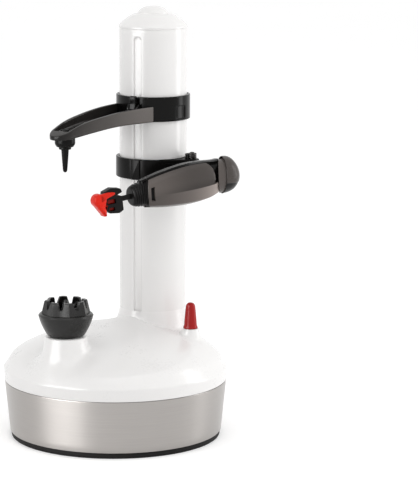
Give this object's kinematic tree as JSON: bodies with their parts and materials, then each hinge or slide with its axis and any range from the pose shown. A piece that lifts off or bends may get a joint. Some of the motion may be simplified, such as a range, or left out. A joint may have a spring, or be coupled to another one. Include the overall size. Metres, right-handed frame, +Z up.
{
  "type": "electric potato peeler",
  "caption": "Electric peeler: a turning food holder on a motor base, a column with a sliding swinging peeling arm, and a sliding arm whose spike holds the food from above.",
  "frame": {"origin": "middle of the foot ring's underside, on the table", "axes": "+Z up along the column, -Y from the column towards the turning food holder, +X towards the peeling arm"},
  "size_m": [0.1576, 0.1576, 0.3],
  "materials": {
    "white_housing": "glossy",
    "column": "glossy",
    "column_cap": "glossy",
    "band": "brushed along the rim",
    "foot_rubber": "matte",
    "tub": "matte",
    "screw_steel": "machined",
    "axle_steel": "ground",
    "plate": "matte",
    "motor_steel": "zinc plated",
    "gear_nylon": "satin",
    "bronze": "sintered",
    "holder_black": "glossy",
    "ring_black": "glossy",
    "arm_black": "glossy",
    "arm_grey": "satin grey",
    "knob_grey": "satin",
    "nose_black": "ribbed",
    "clevis_black": "glossy",
    "guard_red": "glossy",
    "button_red": "glossy",
    "blade_steel": "polished",
    "spring_steel": "drawn",
    "pin_steel": "ground",
    "trough_black": "glossy",
    "switch_plastic": "matte",
    "inlet_plastic": "matte"
  },
  "bodies": {
    "base": {"foot_ring": "foot_rubber", "lower_housing": "tub", "steel_band": "band", "upper_housing": "white_housing", "housing_screws": "screw_steel", "gear_plate": "plate", "plate_screws": "screw_steel", "motor_can": "motor_steel", "reduction_axle": "axle_steel", "idler_axle": "axle_steel", "spindle_bushes": "bronze", "screw_bushes": "bronze", "tower_tube": "column", "tower_cap": "column_cap", "switch_body": "switch_plastic", "dc_inlet": "inlet_plastic"},
    "motor_rotor": {"motor_pinion": "gear_nylon"},
    "reduction": {"reduction_gear": "gear_nylon"},
    "idler": {"idler_gear": "gear_nylon"},
    "screw": {"screw_gear": "gear_nylon", "lead_screw": "axle_steel"},
    "spindle": {"spindle_gear": "gear_nylon", "spindle_shaft": "axle_steel", "food_holder": "holder_black"},
    "carriage": {"carriage_ring": "ring_black", "arm_pivot_pin": "pin_steel", "arm_spring": "spring_steel"},
    "nut": {"half_nut": "bronze"},
    "arm": {"arm_frame": "arm_black", "arm_cover": "arm_grey", "nose_collar": "nose_black"},
    "knob": {"release_knob": "knob_grey"},
    "blade_head": {"blade_shaft": "axle_steel", "blade_clevis": "clevis_black", "blade_guard": "guard_red", "blade_strip": "blade_steel", "blade_rivet": "pin_steel"},
    "upper_arm": {"upper_collar": "ring_black", "latch_pin": "pin_steel", "upper_arm": "trough_black", "spike_bush": "nose_black"},
    "latch": {"latch_lever": "ring_black"},
    "spike": {"top_spike": "holder_black", "spike_clip": "spring_steel"},
    "button": {"red_button": "button_red"}
  },
  "joints": [
    {"name": "spindle_spin", "type": "hinge", "parent": "base", "child": "spindle", "pos_m": [0, -0.051, 0.079], "axis": [0, 0, 1], "continuous": true},
    {"name": "reduction_spin", "type": "hinge", "parent": "base", "child": "reduction", "pos_m": [0, -0.02245, 0.01], "axis": [0, 0, 1], "continuous": true},
    {"name": "motor_spin", "type": "hinge", "parent": "base", "child": "motor_rotor", "pos_m": [-0.03905, -0.02245, 0.01], "axis": [0, 0, 1], "continuous": true},
    {"name": "idler_spin", "type": "hinge", "parent": "base", "child": "idler", "pos_m": [0.00425, -0.00183, 0.017], "axis": [0, 0, 1], "continuous": true},
    {"name": "screw_spin", "type": "hinge", "parent": "base", "child": "screw", "pos_m": [0, 0.04, 0.017], "axis": [0, 0, 1], "continuous": true},
    {"name": "carriage_slide", "type": "slide", "parent": "base", "child": "carriage", "axis": [0, 0, 1], "range_m": [-0.06, 0.012]},
    {"name": "nut_slide", "type": "slide", "parent": "carriage", "child": "nut", "axis": [-0.2334, 0.9724, 0], "range_m": [0, 0.0015]},
    {"name": "arm_swing", "type": "hinge", "parent": "carriage", "child": "arm", "pos_m": [0.03275, 0.044, 0.1872], "axis": [0, 0, 1], "range_deg": [-8, 24], "stiffness_Nm_per_rad": 0.05},
    {"name": "knob_push", "type": "slide", "parent": "arm", "child": "knob", "axis": [-0.336, -0.9333, -0.1271], "range_m": [0, 0.003], "stiffness_N_per_m": 400},
    {"name": "blade_swivel", "type": "hinge", "parent": "arm", "child": "blade_head", "pos_m": [0.0363, -0.03099, 0.17597], "axis": [-0.336, -0.9333, -0.1271], "range_deg": [-12, 12]},
    {"name": "upper_arm_slide", "type": "slide", "parent": "base", "child": "upper_arm", "axis": [0, 0, 1], "range_m": [-0.006, 0.04]},
    {"name": "latch_press", "type": "hinge", "parent": "upper_arm", "child": "latch", "pos_m": [0.00691, 0.01122, 0.2295], "axis": [-0.9724, -0.2334, 0], "range_deg": [0, 10], "stiffness_Nm_per_rad": 0.05, "springref_deg": -5.73},
    {"name": "spike_spin", "type": "hinge", "parent": "upper_arm", "child": "spike", "pos_m": [0, -0.051, 0.212], "axis": [0, 0, 1], "continuous": true},
    {"name": "button_lift", "type": "slide", "parent": "base", "child": "button", "axis": [0, 0, 1], "range_m": [0, 0.005]}
  ],
  "couplings": [
    {"joint": "reduction_spin", "follows": "spindle_spin", "ratio": -2.1667},
    {"joint": "motor_spin", "follows": "spindle_spin", "ratio": 7.2222},
    {"joint": "idler_spin", "follows": "spindle_spin", "ratio": 1.625},
    {"joint": "screw_spin", "follows": "spindle_spin", "ratio": -0.65},
    {"joint": "nut_slide", "follows": "knob_push", "ratio": 0.5}
  ]
}
